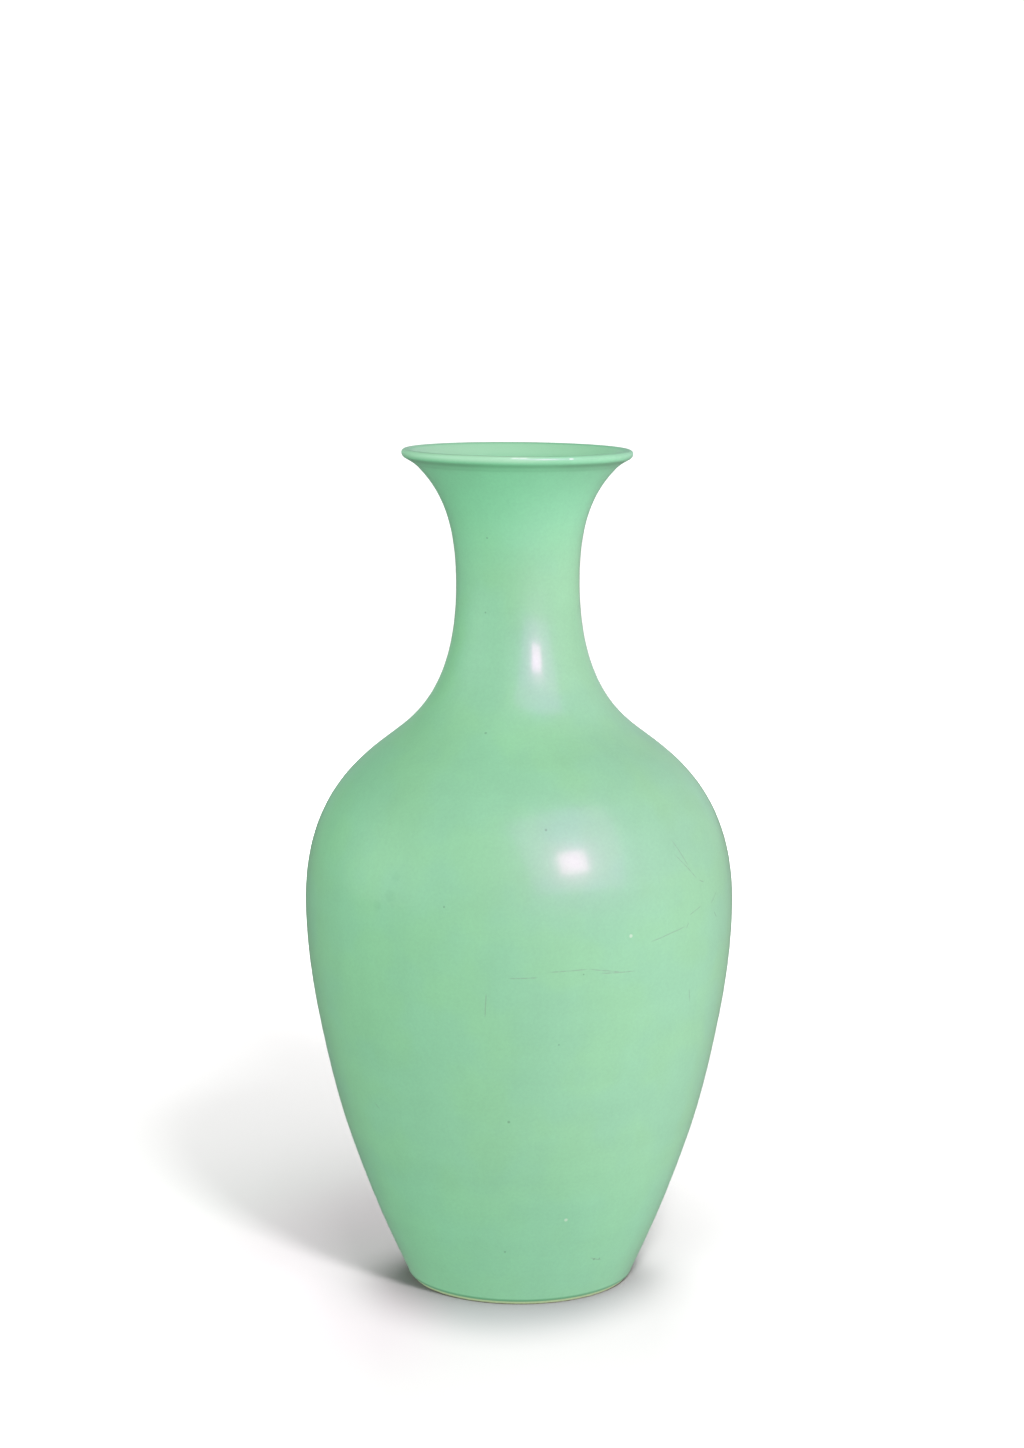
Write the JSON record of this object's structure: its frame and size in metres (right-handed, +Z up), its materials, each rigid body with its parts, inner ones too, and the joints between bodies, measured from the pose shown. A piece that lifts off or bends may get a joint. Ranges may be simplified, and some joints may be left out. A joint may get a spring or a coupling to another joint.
{
  "type": "flared-mouth vase",
  "caption": "Tall baluster vase in green-enamelled porcelain, with a flared mouth, a rolled lip and a narrow turned foot.",
  "frame": {"origin": "centre of the standing rim, on the surface that the vase stands on", "axes": "+Z up along the turning axis, +X to the right and +Y away from the viewer in the pictured view"},
  "size_m": [0.2042, 0.2042, 0.4],
  "materials": {
    "bare_clay": "fired unglazed porcelain, matt, with a thin brown line at the foot",
    "luting_slip": "fired slip, matt",
    "green_enamel": "even pale green enamel, glossy, with fine pits and scratches",
    "clear_glaze": "clear glossy glaze with a faint cool tint"
  },
  "bodies": {
    "root": {"lower_body": "bare_clay", "body_luting": "luting_slip", "upper_body": "bare_clay", "neck_luting": "luting_slip", "neck": "bare_clay", "green_enamel": "green_enamel", "interior_glaze": "clear_glaze", "base_glaze": "clear_glaze"}
  },
  "joints": []
}
